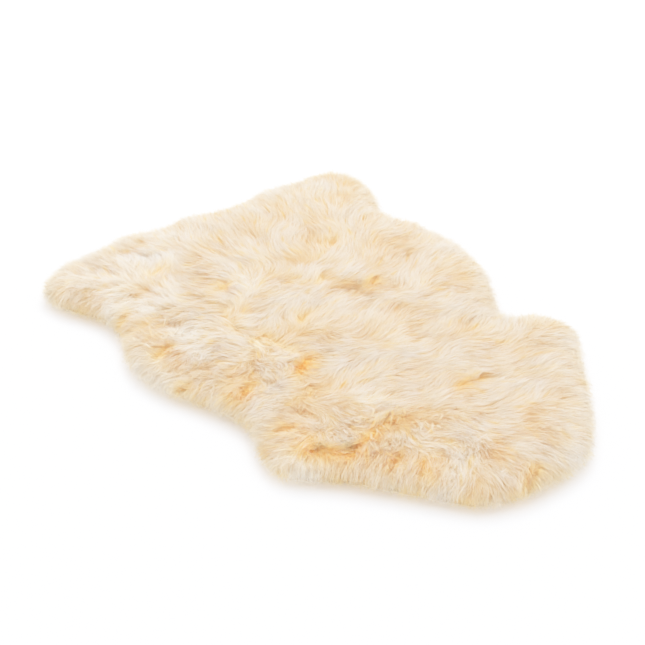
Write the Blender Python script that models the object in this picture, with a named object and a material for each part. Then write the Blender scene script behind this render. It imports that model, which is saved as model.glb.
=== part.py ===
"""Sheepskin rug: one tanned pelt with its wool on, lying flat, as one closed solid in metres.

The neck points along +Y and the rump along -Y. +X is the pelt's right side seen from above, wool up.
The origin is on the floor under the middle of the pelt. The solid reaches from the flat flesh side
of the hide, at z = 0, to the tips of the wool on top and all round.
"""

import math

import bmesh
import bpy
import numpy as np
from mathutils import Vector, geometry

# Sizes over the wool, in metres.
LENGTH = 0.95  # neck to rump
WOOL_TOP = 0.050  # height of the wool where it lies even
RIM_HEIGHT = 0.016  # height at which the wool round the edge bulges out furthest
ROLL_WIDTH = 0.062  # the wool rounds over from its full height to the rim within this distance
HEM_INSET = 0.016  # the flat underside ends this far inside the rim
HEM_HEIGHT = 0.005  # the wool under the rim curls down to the floor from this height

# Spacing of the facets, in metres.
RIM_STEP = 0.015
TOP_STEP = 0.021
ROLL_RINGS = (0.0035, 0.012, 0.026, 0.044)  # distances of the rings of points on the roll from the rim

# The pelt's outline over the wool, in parts of its length: x across, y towards the neck.
OUTLINE = (
    # x, y
    (0.000, 0.500),  # neck
    (0.096, 0.480),
    (0.137, 0.438),
    (0.186, 0.373),
    (0.236, 0.309),
    (0.300, 0.247),  # right foreleg
    (0.309, 0.206),
    (0.295, 0.155),
    (0.277, 0.103),  # behind the right foreleg
    (0.298, 0.025),
    (0.328, -0.047),
    (0.341, -0.118),  # right flank
    (0.331, -0.178),
    (0.303, -0.237),
    (0.305, -0.300),  # before the right hind leg
    (0.336, -0.362),
    (0.351, -0.410),  # right hind leg
    (0.328, -0.456),
    (0.270, -0.480),
    (0.197, -0.487),
    (0.132, -0.500),
    (0.080, -0.482),  # rump
    (0.002, -0.488),
    (-0.055, -0.469),
    (-0.105, -0.471),
    (-0.168, -0.482),
    (-0.225, -0.473),
    (-0.288, -0.474),
    (-0.325, -0.452),
    (-0.342, -0.412),  # left hind leg
    (-0.330, -0.346),
    (-0.297, -0.280),  # before the left hind leg
    (-0.324, -0.210),
    (-0.339, -0.145),  # left flank
    (-0.338, -0.080),
    (-0.316, 0.000),
    (-0.273, 0.072),
    (-0.250, 0.122),  # behind the left foreleg
    (-0.288, 0.140),
    (-0.317, 0.178),
    (-0.322, 0.228),  # left foreleg
    (-0.279, 0.282),
    (-0.212, 0.374),
    (-0.161, 0.435),
    (-0.098, 0.486),
)

# Swells (rise above 0) and hollows (below 0) of the wool's top, in metres.
SWELLS = (
    # x, y, radius, rise
    (0.020, 0.330, 0.130, 0.005),  # across the neck
    (0.165, 0.190, 0.030, -0.007),  # parting behind the right foreleg
    (0.235, 0.165, 0.045, 0.004),
    (0.190, -0.060, 0.060, 0.005),
    (0.105, -0.020, 0.034, -0.006),
    (0.245, -0.230, 0.050, -0.004),
    (0.150, -0.300, 0.085, 0.005),
    (-0.030, 0.080, 0.110, 0.003),
    (-0.070, -0.080, 0.030, -0.006),
    (-0.060, -0.200, 0.060, -0.004),
    (-0.190, -0.130, 0.090, 0.004),
    (-0.170, 0.190, 0.070, -0.003),
    (-0.120, -0.360, 0.090, 0.004),
)
# Faint waves that cross each other all over the top and leave it uneven, in degrees and metres.
WAVES = (
    # direction from +X, length, height
    (12, 0.143, 0.0011),
    (67, 0.094, 0.0009),
    (101, 0.187, 0.0013),
    (148, 0.079, 0.0006),
)

WOOL_COLOUR = (0.86, 0.74, 0.56, 1.0)


def smooth_closed(points, step):
    """Points about step apart along a closed Catmull-Rom curve through the given ones."""
    count = len(points)
    made = []
    for i in range(count):
        p0, p1, p2, p3 = (Vector(points[(i + k) % count]) for k in (-1, 0, 1, 2))
        parts = max(1, round((p2 - p1).length / step))
        for k in range(parts):
            t = k / parts
            made.append(
                0.5
                * (
                    2 * p1
                    + (p2 - p0) * t
                    + (2 * p0 - 5 * p1 + 4 * p2 - p3) * t**2
                    + (3 * p1 - p0 - 3 * p2 + p3) * t**3
                )
            )
    return np.array([tuple(p) for p in made])


def inward_normals(loop):
    """Unit normals that point into a closed loop, which runs clockwise seen from above."""
    along = np.roll(loop, -1, axis=0) - np.roll(loop, 1, axis=0)
    along /= np.linalg.norm(along, axis=1)[:, None]
    return np.stack([along[:, 1], -along[:, 0]], axis=1)


def rim_distance(points, rim):
    """How far each point is from the rim."""
    start = rim[None]
    side = np.roll(rim, -1, axis=0)[None] - start
    away = points[:, None] - start
    share = np.clip((away * side).sum(2) / (side**2).sum(2), 0, 1)
    return np.linalg.norm(away - share[..., None] * side, axis=2).min(1)


def is_inside(points, rim):
    """Whether each point lies inside the rim, by counting the sides that a ray along +X crosses."""
    a, b = rim[None], np.roll(rim, -1, axis=0)[None]
    x, y = points[:, None, 0], points[:, None, 1]
    spans = (a[..., 1] > y) != (b[..., 1] > y)
    rise = np.where(spans, b[..., 1] - a[..., 1], 1.0)
    crossing = a[..., 0] + (y - a[..., 1]) / rise * (b[..., 0] - a[..., 0])
    return (spans & (x < crossing)).sum(1) % 2 == 1


def wool_height(points, rim):
    """Height of the wool's top surface over each point."""
    distance = rim_distance(points, rim)
    roll = 1 - np.clip(distance / ROLL_WIDTH, 0, 1)
    crown = RIM_HEIGHT + (WOOL_TOP - RIM_HEIGHT) * np.sqrt(1 - roll**2)
    uneven = np.zeros(len(points))
    for x, y, radius, rise in SWELLS:
        far = np.hypot(points[:, 0] - x, points[:, 1] - y) / radius
        uneven += rise * np.exp(-(far**2))
    for direction, length, height in WAVES:
        angle = math.radians(direction)
        along = points @ (math.cos(angle), math.sin(angle))
        uneven += height * np.cos(2 * math.pi * along / length)
    return crown + uneven * np.clip(distance / ROLL_WIDTH, 0, 1)


def top_points(rim):
    """Where the top's corners stand inside the rim: rings down the roll, then an even lattice."""
    normals = inward_normals(rim)
    found = []
    for distance in ROLL_RINGS:
        ring = rim + normals * distance
        clear = rim_distance(ring, rim) > 0.9 * distance
        found.append(ring[clear & is_inside(ring, rim)])
    row_step = TOP_STEP * math.sqrt(3) / 2
    low, high = rim.min(0), rim.max(0)
    rows = int((high[1] - low[1]) / row_step) + 1
    columns = int((high[0] - low[0]) / TOP_STEP) + 2
    lattice = np.array(
        [
            (low[0] + (j - 0.5 * (i % 2)) * TOP_STEP, low[1] + i * row_step)
            for i in range(rows)
            for j in range(columns)
        ]
    )
    inside = is_inside(lattice, rim)
    deep = rim_distance(lattice, rim) > ROLL_RINGS[-1] + 0.6 * TOP_STEP
    found.append(lattice[inside & deep])
    return np.concatenate(found)


def pelt_mesh():
    """The closed solid: the wool's top, the rim, the curl under it and the flat underside."""
    rim = smooth_closed(OUTLINE, RIM_STEP / LENGTH) * LENGTH
    rim -= (rim.min(0) + rim.max(0)) / 2
    inner = top_points(rim)
    count = len(rim)
    corners = [Vector(p) for p in np.concatenate([rim, inner])]
    sides = [(i, (i + 1) % count) for i in range(count)]
    flat, _, faces, *_ = geometry.delaunay_2d_cdt(corners, sides, [], 1, 1e-6)
    flat = np.array([tuple(p) for p in flat])
    heights = wool_height(flat, rim)
    heights[:count] = RIM_HEIGHT

    mesh = bmesh.new()
    top = [mesh.verts.new((x, y, z)) for (x, y), z in zip(flat, heights)]
    for face in faces:
        mesh.faces.new([top[i] for i in face])
    rings = [top[:count]]
    normals = inward_normals(rim)
    for inset, z in ((0.35 * HEM_INSET, HEM_HEIGHT), (HEM_INSET, 0.0)):
        ring = rim + normals * inset
        rings.append([mesh.verts.new((x, y, z)) for x, y in ring])
    for upper, lower in zip(rings, rings[1:]):
        for i, j in sides:
            mesh.faces.new((upper[i], upper[j], lower[j], lower[i]))
    mesh.faces.new(rings[-1])
    bmesh.ops.recalc_face_normals(mesh, faces=mesh.faces)
    made = bpy.data.meshes.new("sheepskin")
    mesh.to_mesh(made)
    mesh.free()
    made.shade_smooth()
    return made


def wool_material():
    material = bpy.data.materials.new("wool")
    material.use_nodes = True
    shader = material.node_tree.nodes["Principled BSDF"]
    shader.inputs["Base Color"].default_value = WOOL_COLOUR
    shader.inputs["Roughness"].default_value = 0.9
    shader.inputs["Metallic"].default_value = 0.0
    return material


def main():
    for old in list(bpy.data.objects):
        bpy.data.objects.remove(old)
    group = bpy.data.collections.new("sheepskin_rug")
    bpy.context.scene.collection.children.link(group)
    pelt = bpy.data.objects.new("sheepskin", pelt_mesh())
    pelt.data.materials.append(wool_material())
    group.objects.link(pelt)


main()
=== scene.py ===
"""Sheepskin rug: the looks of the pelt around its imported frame.

The wool is about 184,000 tapered fibres in some 10,000 locks. Each lock follows a guide that runs over
the pelt's surface the way the wool lies: from its root in the fleece, out along the flow, and round
the rolled edge down to the floor. A close fleece fills the space under them, and the tanned hide lies
on the floor below. Lengths are in metres and angles in degrees, in the frame's own axes: +Y towards
the neck, +X to the pelt's right side.
"""

from collections import namedtuple
from types import SimpleNamespace

import bmesh
import bpy
import numpy as np
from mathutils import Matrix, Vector
from mathutils.bvhtree import BVHTree


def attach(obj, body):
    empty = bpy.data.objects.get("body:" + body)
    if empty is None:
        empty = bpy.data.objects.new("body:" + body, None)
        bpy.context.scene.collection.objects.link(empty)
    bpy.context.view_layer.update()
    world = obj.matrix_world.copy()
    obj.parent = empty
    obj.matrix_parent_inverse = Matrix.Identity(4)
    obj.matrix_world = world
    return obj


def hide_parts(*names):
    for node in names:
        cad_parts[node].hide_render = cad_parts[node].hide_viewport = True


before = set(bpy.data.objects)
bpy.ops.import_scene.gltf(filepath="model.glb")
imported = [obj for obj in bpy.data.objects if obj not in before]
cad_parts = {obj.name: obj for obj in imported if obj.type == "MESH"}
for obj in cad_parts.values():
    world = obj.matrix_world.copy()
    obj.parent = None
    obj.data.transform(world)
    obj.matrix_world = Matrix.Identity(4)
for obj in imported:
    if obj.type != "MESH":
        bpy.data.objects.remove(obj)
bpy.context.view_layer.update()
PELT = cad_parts["sheepskin"]
SEED = 7
WELD_DISTANCE = 1e-5
PIECES = ("wool_rump", "wool_loin", "wool_back", "wool_shoulders", "wool_neck")

# Camera, light and floor.
CAMERA_PLACE = (1.452, 1.903, 1.656)
CAMERA_AIM = (-0.018, -0.084, 0.0)
CAMERA_LENS = 100.0  # mm
SKY = 1.57
SKY_COLOUR = (0.975, 1.0, 1.055)
KEY_PLACE = (-1.05, -1.3, 2.4)
KEY_SIZE = 1.5
KEY_WATTS = 32.0
BOUNCES = 32
FLOOR_HALF = 12.0
FLOOR_COLOUR = (0.93, 0.93, 0.93, 1.0)
TONE_KNEE = 0.4
TONE_WHITE = 2.0 - TONE_KNEE  # the curve leaves the knee without a kink
TONE_POINTS = 9
ALL_COLOURS = 3  # which curve of the view's mapping bends red, green and blue together

# Hide: a sheet inside the wool's rim.
HIDE_INSET = 0.004  # inside the flat underside's edge
HIDE_THICK = 0.002

# Fleece under the locks.
FLEECE_DEPTH = 0.0090  # below the wool's surface
FLEECE_FLOOR = 0.0026  # it starts just above the hide
FLEECE_TUFTS = 0.0004  # height of the small tufts all over it
TUFT_LENGTHS = (0.020, 0.050)
TUFT_WAVES = 40
FLEECE_TUCK = 0.011  # and so much further in at the floor
FLEECE_SOLE = 0.032  # further from the rim than this its underside lies flat

# The pelt's own surface.
ROUNDING = 2  # levels of subdivision that round it for the locks, and for the fleece
FLEECE_ROUNDING = 1
RIM_BAND = (0.01, 0.02)  # the rim runs round at one height between these
RIM_PARTS = 6  # places that stand for one edge of it
RIM_CHECK = 0.030  # the pelt lies on the side of an edge where its higher points within this reach are
RIM_RISE = 0.004  # and they are higher by more than this
ROOT_LOWEST = 0.010  # no lock grows below this height
ROOT_FACING = -0.1  # or where the surface faces further down than this
ROOT_TRIES = 9  # places tried on each square of the spacing
EDGE_REACH = 0.050  # distance from the rim at which the edge begins to draw the wool outwards
TURNED_UNDER = -0.2  # the surface turns under the rim where its normal points further down than this

# A coat of wool. Its locks grow `spacing` apart, each of so many fibres that start within `radius` of
# its guide. They are `length` long, `edge_length` at the rim, and run from `root_depth` to `tip_depth`
# below the even surface. `swirl` and `bend` are how far the guides turn and bend, one sigma, `splay` is
# how far the fibres' tips spread, and `width` is a fibre's. `inner`, `rim`, `parted` and `curled` are the
# shares of the locks that grow on even wool, at the rim, in a parting and among curls. `tone` is how
# much whiter the coat is, and `pull` how much of it yields to the partings.
Coat = namedtuple(
    "Coat",
    "spacing fibres radius length edge_length root_depth tip_depth swirl bend splay width"
    " inner rim parted curled tone pull",
)
COATS = (
    Coat(  # long locks, which show
        spacing=0.0100, fibres=34, radius=0.0115, length=0.038, edge_length=0.035,
        root_depth=0.010, tip_depth=-0.0005, swirl=4, bend=5, splay=0.0022, width=0.00062,
        inner=1.0, rim=1.0, parted=0.25, curled=0.5, tone=0.0, pull=1.0,
    ),
    Coat(  # undercoat, which fills the space between them
        spacing=0.0080, fibres=8, radius=0.0070, length=0.017, edge_length=0.018,
        root_depth=0.010, tip_depth=0.0020, swirl=22, bend=15, splay=0.0020, width=0.00068,
        inner=1.0, rim=1.0, parted=0.5, curled=1.0, tone=-0.02, pull=1.0,
    ),
    Coat(  # fine loose fibres, most of them round the edge
        spacing=0.0078, fibres=14, radius=0.0100, length=0.026, edge_length=0.038,
        root_depth=0.006, tip_depth=-0.0060, swirl=30, bend=15, splay=0.0050, width=0.00038,
        inner=0.06, rim=1.0, parted=0.1, curled=0.1, tone=0.03, pull=1.0,
    ),
    Coat(  # fine wool that fans out of the partings
        spacing=0.0036, fibres=14, radius=0.0030, length=0.024, edge_length=0.024,
        root_depth=0.012, tip_depth=-0.0005, swirl=16, bend=20, splay=0.0022, width=0.00045,
        inner=0.0, rim=0.0, parted=1.0, curled=0.3, tone=0.02, pull=1.0,
    ),
    Coat(  # short wool that lies in them
        spacing=0.0028, fibres=8, radius=0.0020, length=0.011, edge_length=0.011,
        root_depth=0.014, tip_depth=0.0020, swirl=25, bend=20, splay=0.0010, width=0.00050,
        inner=0.0, rim=0.0, parted=1.0, curled=0.2, tone=-0.05, pull=0.15,
    ),
    Coat(  # small curls, the last coat, which may be crowded
        spacing=0.0052, fibres=20, radius=0.0017, length=0.016, edge_length=0.016,
        root_depth=0.006, tip_depth=-0.0032, swirl=60, bend=110, splay=0.0004, width=0.00042,
        inner=0.0, rim=0.0, parted=0.0, curled=1.0, tone=0.0, pull=1.0,
    ),
)
LEAST_SHARE = 0.03  # a smaller share of a coat's locks doesn't grow

# The way the wool lies at some places, as the angle from +X that it points to.
FLOW = (
    # x, y, direction, reach
    (0.261, -0.328, -36, 0.10),  # right hind leg
    (0.165, -0.342, -110, 0.05),
    (0.101, -0.255, -30, 0.09),
    (0.273, -0.153, -8, 0.09),  # right flank
    (0.254, -0.037, 8, 0.09),
    (0.214, 0.075, 18, 0.08),
    (0.249, 0.158, -12, 0.06),  # right foreleg
    (0.152, 0.334, 53, 0.09),
    (0.093, 0.420, 66, 0.09),  # neck
    (-0.118, 0.336, 143, 0.12),
    (-0.252, 0.270, 160, 0.10),  # left foreleg
    (0.000, -0.080, 172, 0.13),  # spine
    (0.060, 0.150, 150, 0.11),
    (-0.150, 0.050, 165, 0.13),
    (-0.235, -0.355, -115, 0.10),  # left hind leg
    (-0.292, -0.139, -170, 0.10),
    (-0.060, -0.330, -100, 0.12),
)
FLOW_CORE = 0.08  # keeps a place's weight finite, and how fast the weight fades
FLOW_FADE = 1.5
SWAY_TURN = 26  # how far the wool sways from the flow, one sigma
SWAY_LENGTHS = (0.07, 0.20)
EDGE_PULL = 1.8  # how strongly the rim draws the wool outwards

# Partings, where the wool falls away to both sides and its golden roots show.
PARTINGS = (
    # x, y from, x, y to, width, depth
    (0.232, 0.230, 0.190, 0.262, 0.0064, 0.007),  # behind the right foreleg, the widest
    (0.190, 0.262, 0.140, 0.250, 0.0050, 0.006),
    (0.140, 0.250, 0.095, 0.235, 0.0036, 0.005),
    (0.240, 0.165, 0.220, 0.175, 0.0048, 0.006),
    (0.238, 0.058, 0.215, 0.045, 0.0052, 0.007),
    (0.295, -0.035, 0.280, -0.020, 0.0048, 0.005),
    (0.285, -0.110, 0.255, -0.120, 0.0044, 0.005),
    (0.280, -0.235, 0.260, -0.245, 0.0064, 0.006),
    (0.130, 0.055, 0.105, 0.040, 0.0064, 0.008),
    (0.120, -0.060, 0.110, 0.010, 0.0048, 0.004),
    (0.050, -0.055, 0.030, -0.065, 0.0052, 0.005),
    (0.100, -0.205, 0.075, -0.215, 0.0040, 0.005),
    (0.170, -0.305, 0.145, -0.315, 0.0045, 0.005),
    (-0.100, -0.075, -0.125, -0.085, 0.0048, 0.006),
    (-0.045, -0.135, -0.060, -0.145, 0.0048, 0.004),
    (-0.125, -0.205, -0.140, -0.215, 0.0056, 0.004),
    (-0.034, 0.238, -0.088, 0.231, 0.0036, 0.006),
    (0.130, 0.310, 0.160, 0.330, 0.0048, 0.005),
    (0.115, 0.345, 0.130, 0.360, 0.0048, 0.004),
    (0.035, 0.470, -0.010, 0.445, 0.0044, 0.005),
)
PARTED_WHOLLY = 0.009  # the depth of a parting where its own wool takes over
PARTING_PULL = 1.8  # how strongly a parting turns the wool away, and how many of its widths off
PARTING_REACH = 1.5
PARTING_SINK = 0.3  # share of its depth by which the wool and the fleece sink there
PARTING_CORE = 0.80  # its golden core is so many of its widths wide
GOLD_REACH = 2.6  # and golden roots grow within so many

# How tousled the wool is, from 0, combed smooth, to 1, in separate pointed locks.
TOUSLED = (
    # x, y, radius, amount
    (0.260, -0.260, 0.170, 0.9),
    (0.240, -0.020, 0.130, 0.8),
    (0.250, 0.200, 0.050, 0.7),
    (0.150, 0.260, 0.050, 0.5),
    (0.120, 0.240, 0.050, 0.6),
    (0.060, -0.240, 0.080, 0.5),
    (0.090, 0.380, 0.080, 0.5),
    (-0.030, -0.120, 0.060, 0.6),
)

# Where the wool is whiter, above 0, or more golden, below 0, than elsewhere.
TONED = (
    # x, y, radius, tone
    (0.230, -0.330, 0.130, 0.14),
    (0.230, -0.140, 0.090, 0.11),
    # painted shade: the far side, which the key from behind lights most, is darker and warmer
    (-0.150, -0.250, 0.200, -0.06),
    (0.150, 0.225, 0.060, -0.06),
    (0.060, 0.330, 0.050, 0.09),
    (0.268, 0.190, 0.030, 0.10),
)

# Where the wool is golden at its roots without a parting.
GOLDEN = (
    # x, y, radius, amount
    (0.230, 0.220, 0.024, 1.0),
    (0.150, 0.312, 0.018, 0.8),
    (0.120, 0.355, 0.022, 0.7),
    (0.270, -0.200, 0.022, 0.6),
    (0.245, 0.040, 0.024, 0.6),
)

# Where small curls lie.
CURLED = (
    # x, y, radius, amount
    (0.130, 0.232, 0.024, 0.8),
    (0.100, 0.240, 0.022, 0.8),
    (0.140, 0.285, 0.028, 0.5),
    (0.060, 0.290, 0.028, 0.5),
    (0.262, -0.150, 0.030, 0.5),
)
CURLED_LIKE_PARTED = 0.5  # curls are so much like a parting in their roots' place and gold

# Small golden dashes, where the locks part a little.
DASH_SPACING = 0.019
DASH_SHARES = (0.3, 0.7)  # the share of them on combed wool, and what tousled wool adds
DASH_TURN = 16  # from the way the wool lies, one sigma
DASH_LENGTHS = (0.007, 0.026)
DASH_WIDTHS = (0.0007, 0.0018)
DASH_STRENGTHS = (0.25, 1.0)
DASH_FADE = 1.5  # the higher, the more of them are weak
DASH_REACH = 4  # widths beyond which a dash does nothing
DASH_DEPTH = 0.0014

# Lumps: the wool swells and sinks, the more the more tousled it is.
LUMP_HEIGHT = 0.0034
LUMP_LENGTHS = (0.035, 0.095)
EVEN_WOOL = 0.55  # the share of it where the wool is combed smooth
EVEN_EDGE = 0.7  # the lumps are so much lower at the rim

# Guides.
GUIDE_STEPS = 9
INERTIA = 0.7  # a guide keeps to its way against a change by this much
WILD_SWIRL = 18  # how much more the guides turn and bend where the wool is tousled
WILD_BEND = 40
CALM_EDGE = 0.5  # and how much less they turn at the rim
HEM_HEIGHT = 0.016  # below this a lock leaves the surface and hangs
HEM_PACE = 0.02  # and runs on by this share of its length,
HEM_WAY = (0.8, -0.25)  # so much outwards and so much up
LOWEST = 0.0060  # the wool hangs down to between these heights
HIGHEST_LOW = 0.0270
HIGHEST = 0.066  # no fibre reaches over this

# Locks.
SPREAD = (0.85, 1.15)  # of the lengths and radii
RISE_SPREAD = (0.0002, 0.0012)  # on combed wool, and what tousled wool adds to it
TAPER = (0.05, 0.50)  # how far a lock gathers towards its tip, in the same two parts
TAPER_POWER = 1.4
WILD_NARROWING = 0.12  # a tousled lock is narrower by this share
CRIMP = (0.0002, 0.0009)  # in the same two parts
CRIMP_SPREAD = (0.4, 1.3)
CRIMP_TURN = 9  # radians of the crimp's wave along a fibre
BACK_SET = 0.5  # in radii: a lock starts this far back, and so covers where the wool divides
EDGE_SHORTENING = 0.6  # a lock is shorter from back to front by this share at the rim

# Fibres.
FIBRE_LEVELS = (0.0, 0.38, 0.72, 1.0)
FIBRE_WIDTHS = (0.9, 1.0, 0.7)
WIDTH_SPREAD = (0.7, 1.3)
EDGE_FINENESS = 0.2  # they are finer by this share at the rim
FIBRE_TURN = 20.0  # how far a fibre's flat side turns from the surface, one sigma
LEAST_REACH = 0.60  # the shortest reach this share of the guide, and so much less at the rim
LEAST_REACH_EDGE = 0.15
RISE_POWER = 1.7  # a fibre comes up from its root steeply and then lies down
LOCK_CROWN = 0.0026  # how far the middle of a tousled lock swells
FIBRE_LIFT = 0.0006
STRAY_SHARE = 0.04
STRAY_LIFT = (0.0005, 0.0030)
STRAY_LEAN = 2.2
EDGE_LIFT = 0.002  # how far the fibres at the rim stand off
EDGE_FUZZ = 0.0062  # and how much further besides, on average
FUZZIEST = 3  # times the average at most
HEM_TURN = 0.35  # they lie close again where the surface turns so far down
MOST_BEND = 60  # fibres of a coat that bends less than this are left out where they tangle,
LEAST_SPAN = 0.5  # which is where they reach less than this share of their length,
SPARED_HEIGHT = 0.004  # unless they end within this of the heights where the wool hangs
CROWD_CELL = 0.004  # of the fibres through a cube of this size only so many stay
CROWD = 11
CELL_MARGINS = (0.12, 0.06)  # of a fibre in its cell of the map, across and along it

# The tone of a fibre, from 0, golden cream, to 1, white, by what adds to it or takes away.
ROOT_TONE = 0.25  # at its root, and how much whiter its tip is
TIP_TONE = 0.5
PATCH_TONES = 0.13
PATCH_EVEN = 0.5  # the share of it on combed wool
PATCH_LENGTHS = (0.05, 0.16)
LOCK_TONES = 0.04  # how far the tones of two locks may differ, and those of two fibres of one lock
FIBRE_TONES = 0.04
WILD_CONTRAST = 2  # locks and coats differ by so much more where they are tousled
WILD_TONE = 0.09
PARTED_TONE = 0.12
# painted shade in part: wool lying below the even surface is darker and warmer, as real wool is also more
# golden deep down
HOLLOW_SHADE_TONE = 0.17  # wool is warmer by this much
HOLLOW_DEPTH = 0.006  # where it lies so far below the even surface

# The gold of a fibre, from 0 to 1.
GOLD_LENGTH = 0.028  # of a golden root
GOLD_SPREAD = (0.2, 1.6)  # shares of it
GOLD_END = 1.4  # a golden root has paled at so many times its own golden length
CURTAIN_HEIGHT = 0.044  # below this the wool round the rim turns golden in places, partly its own colour and partly painted shade, and darker, which is painted shade
# partly the wool's own golden streaks and partly painted shade on the hanging wool
CURTAIN_GOLD_AND_SHADE = 1.3
CURTAIN_PLACES = (0.6, -0.4)  # how much of it there is on average, and so much more on a lump
# painted shade: the hanging wool is darker towards the floor by up to this share
PAINTED_CURTAIN_SHADE = 0.090

# Colours, by tone or by the height of a noise.
WOOL_TONES = (
    (0.29, (0.88, 0.74, 0.52)),
    (0.43, (0.895, 0.82, 0.67)),
    (0.58, (0.90, 0.855, 0.775)),
    (0.75, (0.91, 0.88, 0.825)),
    (0.93, (0.93, 0.915, 0.88)),
)
WOOL_GOLD = (0.98, 0.768, 0.335, 1.0)
WOOL_TINTS = ((0.35, (1.0, 0.975, 0.93)), (0.65, (1.0, 1.0, 1.0)))
THROUGH = 0.5  # share of the light that comes through a fibre from its far side
FLEECE_TONES = ((0.3, (0.84, 0.68, 0.44)), (0.7, (0.87, 0.76, 0.56)))
FLEECE_GOLD = (0.95, 0.75, 0.36, 1.0)
HIDE_TONES = ((0.30, (0.60, 0.50, 0.37)), (0.50, (0.70, 0.60, 0.46)), (0.72, (0.77, 0.69, 0.56)))


def unit(vectors):
    return vectors / np.maximum(np.linalg.norm(vectors, axis=-1, keepdims=True), 1e-9)


def dot(a, b):
    return (a * b).sum(-1, keepdims=True)


def bell(far, reach):
    """1 in the middle, and less and less beyond the reach."""
    return np.exp(-((far / reach) ** 2))


def rotated(ways, angles):
    """Ways seen from above, each turned by its angle."""
    cos, sin = np.cos(angles), np.sin(angles)
    return np.stack([ways[:, 0] * cos - ways[:, 1] * sin, ways[:, 0] * sin + ways[:, 1] * cos], axis=1)


def off_line(points, start, line):
    """(way off a line from its start, how far off it) of points seen from above."""
    share = np.clip((points[:, :2] - start) @ line / (line @ line), 0, 1)
    away = points[:, :2] - start - share[:, None] * line
    return unit(away), np.linalg.norm(away, axis=1)


def waviness(rng, lengths, count=28):
    """A smooth random field of about unit height: waves of the given range of lengths that cross."""
    turns = 2 * np.pi / rng.uniform(*lengths, count)
    angles = rng.uniform(0, 2 * np.pi, count)
    waves = np.stack([np.cos(angles), np.sin(angles)]) * turns
    phases = rng.uniform(0, 2 * np.pi, count)
    return lambda p: np.cos(p[:, :2] @ waves + phases).sum(1) * np.sqrt(2 / count)


def welded(mesh):
    """A copy of a mesh whose facets share their corners."""
    copy = mesh.copy()
    joined_up = bmesh.new()
    joined_up.from_mesh(copy)
    bmesh.ops.remove_doubles(joined_up, verts=joined_up.verts, dist=WELD_DISTANCE)
    joined_up.to_mesh(copy)
    joined_up.free()
    return copy


def smoothed(skin, levels):
    """A mesh of the pelt's surface with its facets rounded."""
    copy = bpy.data.objects.new("surface_guide", skin.copy())
    bpy.context.scene.collection.objects.link(copy)
    smooth = copy.modifiers.new("smooth", "SUBSURF")
    smooth.levels = levels
    smooth.render_levels = levels
    graph = bpy.context.evaluated_depsgraph_get()
    mesh = bpy.data.meshes.new_from_object(copy.evaluated_get(graph))
    bpy.data.objects.remove(copy)
    return mesh


class Surface:
    """The pelt's outer surface, smoothed, with its rim seen from above."""

    def __init__(self, skin):
        mesh = smoothed(skin, ROUNDING)
        mesh.calc_loop_triangles()
        self.points = np.array([v.co for v in mesh.vertices])
        self.triangles = np.array([t.vertices[:] for t in mesh.loop_triangles])
        self.tree = BVHTree.FromPolygons(self.points.tolist(), self.triangles.tolist())
        self.rim, self.outward = self.find_rim(skin)

    @staticmethod
    def find_rim(mesh):
        """Points close together along the rim, each with its outward direction."""
        points = np.array([v.co for v in mesh.vertices])
        heights = points[:, 2]
        height = np.median(heights[(heights > RIM_BAND[0]) & (heights < RIM_BAND[1])])
        on_rim = np.abs(heights - height) < WELD_DISTANCE
        ends = np.array([e.vertices[:] for e in mesh.edges])
        ends = ends[on_rim[ends].all(1)]
        a, b = points[ends[:, 0], :2], points[ends[:, 1], :2]
        middle = (a + b) / 2
        across = unit(np.stack([(b - a)[:, 1], -(b - a)[:, 0]], 1))
        share = np.linspace(0, 1, RIM_PARTS, endpoint=False)
        cloud = (a[:, None] + (b - a)[:, None] * share[:, None]).reshape(-1, 2)
        # An edge's outward side is the one with no pelt next to it.
        inward = np.empty(len(middle))
        tops = points[heights > height + RIM_RISE, :2]
        for i, (spot, side) in enumerate(zip(middle, across)):
            near = tops[np.linalg.norm(tops - spot, axis=1) < RIM_CHECK] - spot
            inward[i] = np.sign((near @ side).sum())
        across *= -inward[:, None]
        return cloud, np.repeat(across, len(share), axis=0)

    def rim_distance(self, points):
        """(distance to the rim, outward direction there) of points seen from above."""
        away = points[:, None, :2] - self.rim[None]
        nearest = (away**2).sum(2).argmin(1)
        far = np.linalg.norm(points[:, :2] - self.rim[nearest], axis=1)
        return far, self.outward[nearest]

    def project(self, points):
        """The nearest places on the surface and the normals there."""
        places, normals = np.empty_like(points), np.empty_like(points)
        for i, point in enumerate(points):
            spot, normal, *_ = self.tree.find_nearest(Vector(point))
            places[i] = spot
            normals[i] = normal
        return places, normals

    def scatter(self, rng, spacing, wanted):
        """Evenly spaced places on the surface, above its hem, where the function wants any."""
        corners = self.points[self.triangles]
        crossed = np.cross(corners[:, 1] - corners[:, 0], corners[:, 2] - corners[:, 0])
        area = np.linalg.norm(crossed, axis=1) / 2
        facing = unit(crossed)[:, 2]
        area[(corners[:, :, 2].mean(1) < ROOT_LOWEST) | (facing < ROOT_FACING)] = 0
        tries = int(area.sum() / spacing**2 * ROOT_TRIES)
        chosen = rng.choice(len(area), tries, p=area / area.sum())
        a, b = rng.random((2, tries, 1))
        a, b = np.where(a + b > 1, 1 - a, a), np.where(a + b > 1, 1 - b, b)
        c = corners[chosen]
        points = c[:, 0] + a * (c[:, 1] - c[:, 0]) + b * (c[:, 2] - c[:, 0])
        return spread(points[wanted(points)], spacing)


def spread(points, spacing):
    """Those of the points that keep the spacing from the ones before them."""
    cells, kept = {}, []
    keys = np.floor(points / spacing).astype(int)
    for i, (x, y, z) in enumerate(keys.tolist()):
        near = [
            j
            for dx in (-1, 0, 1)
            for dy in (-1, 0, 1)
            for dz in (-1, 0, 1)
            for j in cells.get((x + dx, y + dy, z + dz), ())
        ]
        if not near or ((points[near] - points[i]) ** 2).sum(1).min() > spacing**2:
            cells.setdefault((x, y, z), []).append(i)
            kept.append(i)
    return points[kept]


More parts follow.
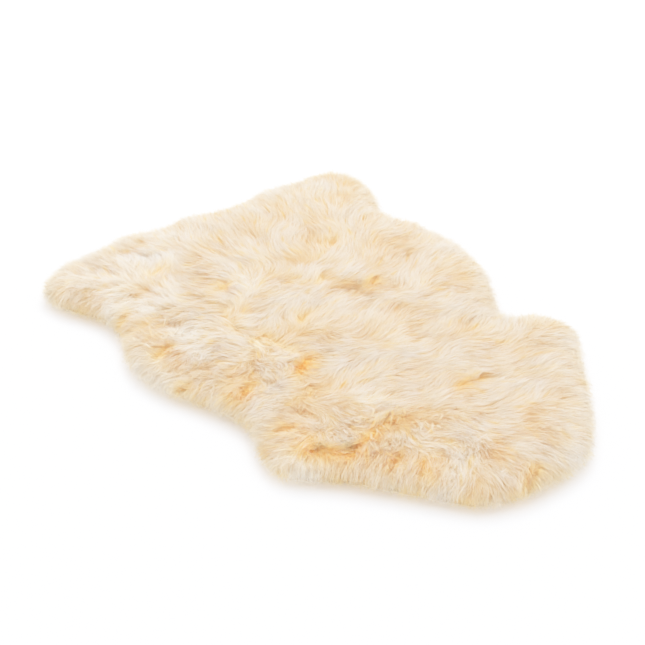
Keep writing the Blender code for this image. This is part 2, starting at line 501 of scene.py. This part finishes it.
def parting_pull(points):
    """(way off the nearest partings, how deep the wool is sunk there, how golden its roots are)."""
    pull = np.zeros((len(points), 2))
    sunk = np.zeros(len(points))
    gold = np.zeros(len(points))
    for x0, y0, x1, y1, width, depth in PARTINGS:
        start = np.array((x0, y0))
        away, far = off_line(points, start, np.array((x1, y1)) - start)
        pull += away * (PARTING_PULL * bell(far, PARTING_REACH * width))[:, None]
        sunk += depth * bell(far, width)
        gold += depth / PARTED_WHOLLY * bell(far, GOLD_REACH * width)
    return pull, sunk, np.clip(gold, 0, 1)


def blobs(points, table):
    """The most that the round blobs of a table amount to at each point, from 0 to 1."""
    amount = np.zeros(len(points))
    for x, y, radius, most in table:
        far = np.hypot(points[:, 0] - x, points[:, 1] - y)
        amount = np.maximum(amount, most * bell(far, radius))
    return amount


def toned(points):
    """How much whiter the wool is at each point."""
    tone = np.zeros(len(points))
    for x, y, radius, amount in TONED:
        far = np.hypot(points[:, 0] - x, points[:, 1] - y)
        tone += amount * bell(far, radius)
    return tone


def lump_height(points, lumps, edge):
    """How far the wool swells over the even surface, or falls below it, at each point."""
    swell = EVEN_WOOL + (1 - EVEN_WOOL) * blobs(points, TOUSLED)
    return LUMP_HEIGHT * lumps(points) * swell * (1 - EVEN_EDGE * edge)


def make_dashes(surface, rng, sway):
    """Golden lines: (start, line, width, strength, how far the wool beside it moves aside).

    Short ones lie along the wool, more of them where it is tousled, and each parting's core is one.
    """

    def wanted(points):
        return rng.random(len(points)) < DASH_SHARES[0] + DASH_SHARES[1] * blobs(points, TOUSLED)

    places = surface.scatter(rng, DASH_SPACING, wanted)
    far, _ = surface.rim_distance(places)
    places = places[far > EDGE_REACH / 2]
    count = len(places)
    lie = rotated(flow(places, surface, sway), np.radians(DASH_TURN) * rng.normal(size=count))
    lines = lie * rng.uniform(*DASH_LENGTHS, (count, 1))
    widths = rng.uniform(*DASH_WIDTHS, count)
    strengths = rng.uniform(*DASH_STRENGTHS, count) ** DASH_FADE
    dashes = list(zip(places[:, :2], lines, widths, strengths, widths))
    for x0, y0, x1, y1, width, depth in PARTINGS:
        start, line = np.array((x0, y0)), np.array((x1 - x0, y1 - y0))
        strength = min(depth / PARTED_WHOLLY, 1.0)
        dashes.append((start, line, PARTING_CORE * width, strength, 0.0))
    return dashes


def dashed(points, dashes):
    """(how golden each point is, how far and which way it moves aside) beside the dashes."""
    gold = np.zeros(len(points))
    aside = np.zeros((len(points), 2))
    order = np.argsort(points[:, 0])
    xs = points[order, 0]
    for start, line, width, strength, push in dashes:
        reach = abs(line[0]) + DASH_REACH * width
        rows = order[np.searchsorted(xs, start[0] - reach) : np.searchsorted(xs, start[0] + reach)]
        rows = rows[np.abs(points[rows, 1] - start[1]) < abs(line[1]) + DASH_REACH * width]
        away, far = off_line(points[rows], start, line)
        near = strength * bell(far, width)
        gold[rows] = np.maximum(gold[rows], near)
        aside[rows] += away * (near * push)[:, None]
    return gold, aside


def flow(points, surface, sway, yields=1.0):
    """The way the wool lies at points seen from above, where so much of it yields to the partings."""
    lie = np.zeros((len(points), 2))
    for x, y, direction, reach in FLOW:
        far = np.hypot(points[:, 0] - x, points[:, 1] - y) / reach
        weight = 1 / (FLOW_CORE + far**2) ** FLOW_FADE
        angle = np.radians(direction)
        lie += weight[:, None] * np.array((np.cos(angle), np.sin(angle)))
    lie = rotated(unit(lie), np.radians(SWAY_TURN) * sway(points))
    far, outward = surface.rim_distance(points)
    edge = bell(far, EDGE_REACH)[:, None]
    pull, _, _ = parting_pull(points)
    return unit(lie * (1 - edge) + outward * EDGE_PULL * edge + yields * pull)


def lay_guides(surface, roots, turns, bends, lengths, sway, yields):
    """Each lock's guide: places along the surface, with the normal, the way on and the side at each."""
    here, normal = surface.project(roots)
    places, normals, ways, sides = [here], [normal], [], []
    step = (lengths / GUIDE_STEPS)[:, None]
    plane = np.zeros((len(roots), 2))
    down = np.array((0.0, 0.0, -1.0))
    level = np.zeros((len(roots), 1))
    for k in range(GUIDE_STEPS):
        plane = unit(flow(here, surface, sway, yields) + INERTIA * plane)
        way = np.concatenate([rotated(plane, turns + bends * k / GUIDE_STEPS), level], axis=1)
        up = np.clip(normal[:, 2:], 0, 1)
        way = way * up + down * (1 - up)
        way = unit(way - normal * dot(way, normal))
        side = unit(np.cross(normal, way))
        _, outward = surface.rim_distance(here)
        low = (here[:, 2] < HEM_HEIGHT) | (normal[:, 2] < TURNED_UNDER)
        hanging = np.concatenate([outward * HEM_WAY[0], level + HEM_WAY[1]], axis=1)
        along_rim = np.concatenate([-outward[:, 1:], outward[:, :1], level], axis=1)
        way[low], side[low] = unit(hanging[low]), along_rim[low]
        moved = here + way * step * np.where(low, HEM_PACE, 1.0)[:, None]
        on, found = surface.project(moved)
        on[low], found[low] = moved[low], normal[low]
        here, normal = on, found
        ways.append(way)
        sides.append(side)
        places.append(here)
        normals.append(normal)
    ways.append(ways[-1])
    sides.append(sides[-1])
    return [np.stack(steps, 1) for steps in (places, normals, ways, sides)]


def along(rows, guide, share):
    """Reads guide rows at a share of their length, between their steps."""
    at = np.clip(share, 0, 1) * GUIDE_STEPS
    step = np.minimum(at.astype(int), GUIDE_STEPS - 1)
    part = (at - step)[:, None]
    return guide[rows, step] * (1 - part) + guide[rows, step + 1] * part


def wool_share(points, coat, inner=None):
    """The share of a coat's locks that grow at each point; inner is their share on even wool."""
    even = max(coat.inner, coat.rim) if inner is None else inner
    curl = blobs(points, CURLED)
    _, sunk, _ = parting_pull(points)
    parted = np.clip(sunk / PARTED_WHOLLY, 0, 1)
    share = even * (1 - curl) + coat.curled * curl
    share = share * (1 - parted) + coat.parted * parted
    return np.where(share > LEAST_SHARE, share, 0)


def grow_locks(surface, coat, rng, sway, lumps):
    """One coat's locks: where they grow, the guides that they follow, and their shapes."""
    roots = surface.scatter(rng, coat.spacing, lambda p: wool_share(p, coat) > 0)
    far, _ = surface.rim_distance(roots)
    edge = bell(far, EDGE_REACH)
    inner = coat.inner * (1 - edge) + coat.rim * edge
    kept = rng.random(len(roots)) < wool_share(roots, coat, inner)
    roots, edge = roots[kept], edge[kept]
    count = len(roots)
    wild = blobs(roots, TOUSLED)
    curl = CURLED_LIKE_PARTED * blobs(roots, CURLED)
    _, sunk, warm = parting_pull(roots)
    parted = np.clip(sunk / PARTED_WHOLLY, 0, 1)

    lengths = coat.length + (coat.edge_length - coat.length) * edge
    lengths *= rng.uniform(*SPREAD, count)
    turns = np.radians(coat.swirl + WILD_SWIRL * wild) * rng.normal(size=count) * (1 - CALM_EDGE * edge)
    bends = np.radians(coat.bend + WILD_BEND * wild) * rng.normal(size=count)
    guides = lay_guides(surface, roots, turns, bends, lengths, sway, coat.pull)

    lump = lump_height(roots, lumps, edge)
    rise = lump - coat.tip_depth
    rise += rng.normal(size=count) * (RISE_SPREAD[0] + RISE_SPREAD[1] * wild)
    rise -= PARTING_SINK * sunk
    return SimpleNamespace(
        count=count,
        roots=roots,
        edge=edge,
        wild=wild,
        parted=parted,
        deep=np.maximum(parted, curl),
        warm=np.maximum.reduce([warm, curl, blobs(roots, GOLDEN)]),
        lengths=lengths,
        guides=guides,
        root_depth=coat.root_depth + PARTING_SINK * sunk + np.clip(-lump, 0, None),
        rise=rise,
        taper=(TAPER[0] + TAPER[1] * wild) * (1 - edge),
        radius=coat.radius * rng.uniform(*SPREAD, count) * (1 - WILD_NARROWING * wild),
        crimp=(CRIMP[0] + CRIMP[1] * wild) * rng.uniform(*CRIMP_SPREAD, count),
        phase=rng.uniform(0, 2 * np.pi, count),
    )


def grow_fibres(coat, locks, rng, lumps, patches):
    """How each fibre of the locks differs from its lock's guide, in shape and colour."""
    lock = np.repeat(np.arange(locks.count), coat.fibres)
    n = len(lock)
    edge, wild = locks.edge[lock], locks.wild[lock]
    around, out = rng.uniform(0, 2 * np.pi, n), np.sqrt(rng.random(n))
    radius = locks.radius[lock]
    back = BACK_SET * (1 - locks.deep[lock])
    lift = LOCK_CROWN * np.sqrt(1 - out**2) * wild + FIBRE_LIFT * rng.normal(size=n)
    reach = rng.uniform(LEAST_REACH - LEAST_REACH_EDGE * edge, 1.0)
    stray = rng.random(n) < STRAY_SHARE
    lift[stray] += rng.uniform(*STRAY_LIFT, stray.sum())
    fuzz = edge * (EDGE_LIFT + EDGE_FUZZ * np.minimum(rng.exponential(size=n), FUZZIEST))
    lean = rng.normal(size=n) * coat.splay * (1 + edge)
    lean[stray] *= STRAY_LEAN

    contrast = 1 + WILD_CONTRAST * locks.wild
    tone = coat.tone * contrast
    tone = tone + PATCH_TONES * (PATCH_EVEN + locks.wild) * patches(locks.roots)
    tone = tone + WILD_TONE * locks.wild + toned(locks.roots)
    tone += LOCK_TONES * contrast * (rng.random(locks.count) - 0.5)
    tone -= PARTED_TONE * locks.parted
    single = FIBRE_TONES * (rng.random(n) - 0.5)
    golden = GOLD_LENGTH * rng.uniform(*GOLD_SPREAD, n)
    lowest = rng.uniform(LOWEST, HIGHEST_LOW, n)
    mostly, on_lump = CURTAIN_PLACES
    curtain = CURTAIN_GOLD_AND_SHADE * rng.random(locks.count) * np.clip(mostly + on_lump * lumps(locks.roots), 0, 1)
    return SimpleNamespace(
        lock=lock,
        side_off=radius * out * np.cos(around),
        way_off=radius * (out * np.sin(around) - back) * (1 - EDGE_SHORTENING * edge),
        lift=lift,
        reach=reach,
        fuzz=fuzz,
        lean=lean,
        tone=tone[lock] + single,
        golden=golden,
        lowest=lowest,
        curtain=curtain[lock],
    )


def lay_level(level, locks, fibres, dashes):
    """(points, flat sides, tones, golds, painted shade) of all fibres at one of their levels."""
    lock = fibres.lock
    share = level * fibres.reach
    place, normal, way, side = (along(lock, guide, share) for guide in locks.guides)
    normal, way, side = unit(normal), unit(way), unit(side)
    close = (1 - locks.taper[lock] * share**TAPER_POWER)[:, None]
    rise = locks.rise[lock] + fibres.lift + fibres.fuzz * np.clip(1 + normal[:, 2] / HEM_TURN, 0, 1)
    depth = locks.root_depth[lock] * (1 - share) ** RISE_POWER - rise * share
    wave = locks.crimp[lock] * np.sin(CRIMP_TURN * share + locks.phase[lock]) * share
    point = place + (side * fibres.side_off[:, None] + way * fibres.way_off[:, None]) * close
    point += side * (fibres.lean * share**2 + wave)[:, None] - normal * depth[:, None]
    dash, aside = dashed(point, dashes)
    point[:, :2] += aside
    point[:, 2] -= DASH_DEPTH * dash
    point[:, 2] = np.clip(point[:, 2], fibres.lowest, HIGHEST)

    root_gold = locks.warm[lock] * np.clip(GOLD_END - share * locks.lengths[lock] / fibres.golden, 0, 1)
    low = np.clip(1 - point[:, 2] / CURTAIN_HEIGHT, 0, 1)
    # the hanging wool's golden streaks low down: partly its own colour, partly painted shade
    gold = np.maximum(np.maximum(root_gold, fibres.curtain * low), dash)
    # painted shade in part: sunken wool is darker and warmer
    tone = fibres.tone - HOLLOW_SHADE_TONE * np.clip(-rise / HOLLOW_DEPTH, 0, 1)
    # painted shade: the lower the hanging wool, the darker its colour
    return point, side, tone, gold, 1 - PAINTED_CURTAIN_SHADE * low


def make_fibres(surface, coat, rng, fields):
    """One coat's fibres: their points by level, with what their shape and colour depend on."""
    sway, lumps, patches, dashes = fields
    locks = grow_locks(surface, coat, rng, sway, lumps)
    fibres = grow_fibres(coat, locks, rng, lumps, patches)
    laid = zip(*(lay_level(level, locks, fibres, dashes) for level in FIBRE_LEVELS))
    made = {key: np.stack(levels, 1) for key, levels in zip(("levels", "sides", "tone", "gold", "painted_shade"), laid)}
    n = len(fibres.lock)
    made["spin"] = np.radians(FIBRE_TURN) * rng.normal(size=n)
    made["width"] = coat.width * rng.uniform(*WIDTH_SPREAD, n) * (1 - EDGE_FINENESS * locks.edge[fibres.lock])
    if coat.bend > MOST_BEND:
        return made
    root, tip = made["levels"][:, 0], made["levels"][:, -1]
    hanging = tip[:, 2] < HIGHEST_LOW + SPARED_HEIGHT
    spans = np.linalg.norm(tip - root, axis=1)
    whole = spans > LEAST_SPAN * locks.lengths[fibres.lock] * fibres.reach
    return {key: value[hanging | whole] for key, value in made.items()}


def joined(coats):
    return {key: np.concatenate([coat[key] for coat in coats]) for key in coats[0]}


def uncrowded(fibres):
    """The fibres, less those past the first CROWD that pass through the same small part of space."""
    cells = np.floor(fibres["levels"][:, 2] / CROWD_CELL).astype(int)
    cell = np.unique(cells, axis=0, return_inverse=True)[1].ravel()
    order = np.argsort(cell, kind="stable")
    rank = np.empty(len(cell), int)
    rank[order] = np.arange(len(cell)) - np.searchsorted(cell[order], cell[order])
    return {key: value[rank < CROWD] for key, value in fibres.items()}


def ribbon_points(fibres):
    """Each fibre's corners: a pair across it at every level but the last, and its tip."""
    levels = fibres["levels"]
    n, steps = levels.shape[:2]
    ahead = levels[:, 1:] - levels[:, :-1]
    ahead[:, 1:] += ahead[:, :-1].copy()
    ahead = unit(ahead)
    side = fibres["sides"][:, :-1]
    flat = unit(side - ahead * dot(side, ahead))
    above = np.cross(ahead, flat)
    spin = fibres["spin"][:, None, None]
    turned = flat * np.cos(spin) + above * np.sin(spin)
    half = fibres["width"][:, None, None] / 2 * np.array(FIBRE_WIDTHS)[None, :, None]
    rows = np.empty((n, 2 * steps - 1, 3))
    rows[:, 0:-1:2] = levels[:, :-1] - turned * half
    rows[:, 1:-1:2] = levels[:, :-1] + turned * half
    rows[:, -1] = levels[:, -1]
    rows[:, :, 2] = np.maximum(rows[:, :, 2], LOWEST / 2)
    return rows


def by_corner(values):
    """A value of each level, given to both of its corners, and to the tip once."""
    return np.repeat(values, 2, axis=-1)[..., :-1]


def map_cells(n, share):
    """Where the corners of n fibres lie in the map: each fibre has its own cell, root at the bottom."""
    per = len(share)
    across = int(np.ceil(np.sqrt(n)))
    cell = np.stack([np.arange(n) % across, np.arange(n) // across], 1)
    inner = np.empty((per, 2))
    inner[:, 0] = np.where(np.arange(per) % 2 == 0, CELL_MARGINS[0], 1 - CELL_MARGINS[0])
    inner[-1, 0] = 0.5
    inner[:, 1] = CELL_MARGINS[1] + (1 - 2 * CELL_MARGINS[1]) * share
    return (cell[:, None] + inner[None]) / across


def ribbon_mesh(name, fibres):
    """One mesh of flat tapered fibres, each with its own cell of the map."""
    rows = ribbon_points(fibres)
    n, per = rows.shape[:2]
    quads = np.array([(k, k + 1, k + 3, k + 2) for k in range(0, per - 3, 2)])
    tip = np.array((per - 3, per - 2, per - 1))
    pattern = np.concatenate([quads.ravel(), tip])
    starts = np.arange(len(quads) + 1) * 4
    loops = (np.arange(n)[:, None] * per + pattern).ravel()
    firsts = (np.arange(n)[:, None] * len(pattern) + starts).ravel()
    mesh = bpy.data.meshes.new(name)
    mesh.vertices.add(n * per)
    mesh.vertices.foreach_set("co", rows.ravel().astype(np.float32))
    mesh.loops.add(len(loops))
    mesh.loops.foreach_set("vertex_index", loops.astype(np.int32))
    mesh.polygons.add(len(firsts))
    mesh.polygons.foreach_set("loop_start", firsts.astype(np.int32))
    mesh.update(calc_edges=True)
    mesh.shade_smooth()

    share = by_corner(np.array(FIBRE_LEVELS))
    values = np.ones((n, per, 4), np.float32)
    values[..., 0] = ROOT_TONE + TIP_TONE * share + by_corner(fibres["tone"])
    values[..., 1] = by_corner(fibres["gold"])
    values[..., 2] = by_corner(fibres["painted_shade"])
    attribute = mesh.attributes.new("fibre", "FLOAT_COLOR", "POINT")
    attribute.data.foreach_set("color", values.ravel())
    layer = mesh.uv_layers.new(name="OFBake")
    on_map = map_cells(n, share).reshape(-1, 2)[loops]
    layer.uv.foreach_set("vector", on_map.ravel().astype(np.float32))
    return mesh


def place(name, mesh, material, slot):
    piece = bpy.data.objects.new(name, mesh)
    bpy.context.scene.collection.objects.link(piece)
    mesh.materials.clear()
    mesh.materials.append(material)
    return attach(piece, "root")


class Nodes:
    """A new material whose nodes are added one at a time."""

    def __init__(self, name):
        self.material = bpy.data.materials.new(name)
        self.material.use_nodes = True
        self.tree = self.material.node_tree
        self.shader = self.tree.nodes["Principled BSDF"]
        self.output = self.tree.nodes["Material Output"]
        self.link = self.tree.links.new

    def add(self, kind, **values):
        made = self.tree.nodes.new(kind)
        for key, value in values.items():
            setattr(made, key, value)
        return made

    def noise(self, scale, detail):
        """A noise fixed to the piece, as the socket of its height."""
        where = self.add("ShaderNodeTexCoord")
        made = self.add("ShaderNodeTexNoise")
        made.inputs["Scale"].default_value = scale
        made.inputs["Detail"].default_value = detail
        self.link(where.outputs["Object"], made.inputs["Vector"])
        return made.outputs["Fac"]

    def ramp(self, height, stops):
        """The colour that a height has between the stops."""
        made = self.add("ShaderNodeValToRGB")
        made.color_ramp.elements.remove(made.color_ramp.elements[1])
        for i, (at, colour) in enumerate(stops):
            stop = made.color_ramp.elements[0] if i == 0 else made.color_ramp.elements.new(at)
            stop.position = at
            stop.color = (*colour, 1.0)
        self.link(height, made.inputs["Fac"])
        return made.outputs["Color"]

    def towards(self, colour, other, amount):
        """The colour, mixed with a plain one by an amount that changes over the surface."""
        made = self.add("ShaderNodeMix", data_type="RGBA")
        made.inputs["B"].default_value = other
        self.link(amount, made.inputs["Factor"])
        self.link(colour, made.inputs["A"])
        return made.outputs["Result"]

    def times(self, colour, other):
        made = self.add("ShaderNodeMix", data_type="RGBA", blend_type="MULTIPLY")
        made.inputs["Factor"].default_value = 1.0
        self.link(colour, made.inputs["A"])
        self.link(other, made.inputs["B"])
        return made.outputs["Result"]

    def roughen(self, height, least, most):
        made = self.add("ShaderNodeMapRange")
        made.inputs["To Min"].default_value = least
        made.inputs["To Max"].default_value = most
        self.link(height, made.inputs["Value"])
        self.link(made.outputs["Result"], self.shader.inputs["Roughness"])

    def emboss(self, height, strength, distance):
        made = self.add("ShaderNodeBump")
        made.inputs["Strength"].default_value = strength
        made.inputs["Distance"].default_value = distance
        self.link(height, made.inputs["Height"])
        self.link(made.outputs["Normal"], self.shader.inputs["Normal"])


def wool_material():
    """Ivory tips over cream and golden roots, softly translucent, with painted shade low on the wool round
    the rim.
    """
    nodes = Nodes("wool_fibres")
    given = nodes.add("ShaderNodeAttribute", attribute_name="fibre")
    parts = nodes.add("ShaderNodeSeparateColor")
    nodes.link(given.outputs["Color"], parts.inputs["Color"])
    tone, gold, painted_shade = (parts.outputs[key] for key in ("Red", "Green", "Blue"))
    colour = nodes.towards(nodes.ramp(tone, WOOL_TONES), WOOL_GOLD, gold)
    colour = nodes.times(colour, nodes.ramp(nodes.noise(14.0, 3.0), WOOL_TINTS))
    # painted shade: darker towards the floor on the wool round the rim
    colour = nodes.times(colour, painted_shade)
    nodes.link(colour, nodes.shader.inputs["Base Color"])
    scales = nodes.noise(900.0, 2.0)
    nodes.roughen(scales, 0.52, 0.74)
    nodes.emboss(scales, 0.25, 0.0002)
    nodes.shader.inputs["Specular IOR Level"].default_value = 0.25
    through = nodes.add("ShaderNodeBsdfTranslucent")
    nodes.link(colour, through.inputs["Color"])
    both = nodes.add("ShaderNodeMixShader")
    both.inputs["Fac"].default_value = THROUGH
    nodes.link(nodes.shader.outputs["BSDF"], both.inputs[1])
    nodes.link(through.outputs["BSDF"], both.inputs[2])
    nodes.link(both.outputs["Shader"], nodes.output.inputs["Surface"])
    return nodes.material


def fleece_material():
    """The close wool under the locks, golden in the partings."""
    nodes = Nodes("close_fleece")
    grain = nodes.noise(420.0, 4.0)
    parted = nodes.add("ShaderNodeAttribute", attribute_name="parted")
    colour = nodes.towards(nodes.ramp(grain, FLEECE_TONES), FLEECE_GOLD, parted.outputs["Fac"])
    nodes.link(colour, nodes.shader.inputs["Base Color"])
    nodes.shader.inputs["Roughness"].default_value = 0.9
    nodes.shader.inputs["Specular IOR Level"].default_value = 0.1
    nodes.emboss(grain, 0.6, 0.001)
    return nodes.material


def hide_material():
    """Pale tanned suede, with a fine nap and faint stains."""
    nodes = Nodes("suede_hide")
    nodes.link(nodes.ramp(nodes.noise(9.0, 5.0), HIDE_TONES), nodes.shader.inputs["Base Color"])
    nap = nodes.noise(700.0, 3.0)
    nodes.roughen(nap, 0.78, 0.98)
    nodes.emboss(nap, 0.5, 0.0006)
    return nodes.material


def make_fleece(surface, lumps):
    """The close wool: the pelt's surface drawn in, with the wool's hollows and small tufts all over it."""
    tufts = waviness(np.random.default_rng(SEED + 1), TUFT_LENGTHS, TUFT_WAVES)
    mesh = smoothed(SKIN, FLEECE_ROUNDING)
    mesh.name = "fleece_under"
    points = np.empty(len(mesh.vertices) * 3)
    mesh.vertices.foreach_get("co", points)
    points = points.reshape(-1, 3)
    ways = np.array([v.normal for v in mesh.vertices])
    upper = np.clip(ways[:, 2], 0, 1)
    _, sunk, _ = parting_pull(points)
    far, outward = surface.rim_distance(points)
    depth = FLEECE_DEPTH + FLEECE_TUFTS * tufts(points) * upper + PARTING_SINK * sunk
    depth += np.clip(-lump_height(points, lumps, bell(far, EDGE_REACH)), 0, None) * upper
    depth += FLEECE_TUCK * np.clip(1 - points[:, 2] / HEM_HEIGHT, 0, 1)
    # Under the rim it is drawn in level, and further in its underside stays where it is.
    under = ways[:, 2] < TURNED_UNDER
    ways[under] = np.concatenate([outward[under], np.zeros((under.sum(), 1))], 1)
    depth[under & (far > FLEECE_SOLE)] = 0
    points -= ways * depth[:, None]
    points[:, 2] = np.maximum(points[:, 2], FLEECE_FLOOR)
    mesh.vertices.foreach_set("co", points.ravel())
    mesh.update()
    mesh.shade_smooth()
    parted = mesh.attributes.new("parted", "FLOAT", "POINT")
    parted.data.foreach_set("value", np.clip(sunk / PARTED_WHOLLY, 0, 1).astype(np.float32))
    return mesh


def make_hide(surface):
    """(mesh, area) of the tanned skin: the flat underside, a little smaller, two faces and an edge."""
    mesh = bmesh.new()
    mesh.from_mesh(SKIN)
    drop = [v for v in mesh.verts if v.co.z > WELD_DISTANCE]
    bmesh.ops.delete(mesh, geom=drop, context="VERTS")
    _, outward = surface.rim_distance(np.array([v.co for v in mesh.verts]))
    for v, out in zip(mesh.verts, outward):
        v.co.x -= out[0] * HIDE_INSET
        v.co.y -= out[1] * HIDE_INSET
    area = sum(f.calc_area() for f in mesh.faces)
    made = bmesh.ops.extrude_face_region(mesh, geom=mesh.faces[:])
    top = [v for v in made["geom"] if isinstance(v, bmesh.types.BMVert)]
    bmesh.ops.translate(mesh, verts=top, vec=(0, 0, HIDE_THICK))
    bmesh.ops.recalc_face_normals(mesh, faces=mesh.faces)
    bmesh.ops.triangulate(mesh, faces=mesh.faces)
    data = bpy.data.meshes.new("hide")
    mesh.to_mesh(data)
    mesh.free()
    return data, area


def make_fields(surface, rng):
    """What all the wool follows: the sway of its lie, its lumps, its patches of tone and its dashes."""
    sway = waviness(rng, SWAY_LENGTHS)
    lumps = waviness(rng, LUMP_LENGTHS)
    patches = waviness(rng, PATCH_LENGTHS)
    return sway, lumps, patches, make_dashes(surface, rng, sway)


def make_wool(surface, fields, rng):
    """All coats of wool, cut across the pelt into pieces of like size."""
    coats = [make_fibres(surface, coat, rng, fields) for coat in COATS]
    fibres = joined([uncrowded(joined(coats[:-1])), coats[-1]])
    order = np.argsort(fibres["levels"][:, 0, 1], kind="stable")
    material = wool_material()
    made = []
    for name, rows in zip(PIECES, np.array_split(order, len(PIECES))):
        mesh = ribbon_mesh(name, {key: value[rows] for key, value in fibres.items()})
        made.append(place(name, mesh, material, "wool"))
    return made


def make_floor():
    bpy.ops.mesh.primitive_plane_add(size=2 * FLOOR_HALF)
    floor = bpy.context.object
    floor.name = "floor"
    nodes = Nodes("floor")
    nodes.shader.inputs["Base Color"].default_value = FLOOR_COLOUR
    nodes.shader.inputs["Roughness"].default_value = 0.9
    nodes.shader.inputs["Specular IOR Level"].default_value = 0.0
    floor.data.materials.append(nodes.material)


def make_light():
    scene = bpy.context.scene
    scene.world = bpy.data.worlds.new("studio")
    scene.world.use_nodes = True
    sky = scene.world.node_tree.nodes["Background"]
    sky.inputs["Color"].default_value = (*SKY_COLOUR, 1)
    sky.inputs["Strength"].default_value = SKY
    lamp = bpy.data.lights.new("key", "AREA")
    lamp.energy = KEY_WATTS
    lamp.size = KEY_SIZE
    key = bpy.data.objects.new("key", lamp)
    key.location = KEY_PLACE
    key.rotation_euler = (-Vector(KEY_PLACE)).to_track_quat("-Z", "Y").to_euler()
    scene.collection.objects.link(key)
    scene.cycles.max_bounces = BOUNCES + 4
    scene.cycles.diffuse_bounces = BOUNCES
    scene.cycles.transmission_bounces = BOUNCES


def make_tones():
    """A photographic tone curve: straight to TONE_KNEE, then bending over to reach white at TONE_WHITE."""
    view = bpy.context.scene.view_settings
    view.view_transform = "Standard"
    view.use_curve_mapping = True
    mapping = view.curve_mapping
    mapping.white_level = (TONE_WHITE, TONE_WHITE, TONE_WHITE)
    for share in np.linspace(0, 1, TONE_POINTS)[:-1]:
        light = TONE_KNEE + (TONE_WHITE - TONE_KNEE) * share
        tone = TONE_KNEE + (1 - TONE_KNEE) * (1 - (1 - share) ** 2)
        mapping.curves[ALL_COLOURS].points.new(light / TONE_WHITE, tone)
    mapping.update()


def make_camera():
    lens = bpy.data.cameras.new("camera")
    lens.lens = CAMERA_LENS
    camera = bpy.data.objects.new("camera", lens)
    camera.location = CAMERA_PLACE
    look = Vector(CAMERA_AIM) - Vector(CAMERA_PLACE)
    camera.rotation_euler = look.to_track_quat("-Z", "Y").to_euler()
    bpy.context.scene.collection.objects.link(camera)
    bpy.context.scene.camera = camera


SKIN = welded(PELT.data)
surface = Surface(SKIN)
make_camera()
make_light()
make_tones()
make_floor()
rng = np.random.default_rng(SEED)
fields = make_fields(surface, rng)
wool = make_wool(surface, fields, rng)
fleece = place("fleece_under", make_fleece(surface, fields[1]), fleece_material(), "wool")
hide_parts("sheepskin")
hide_mesh, hide_area = make_hide(surface)
hide = place("hide", hide_mesh, hide_material(), "hide")
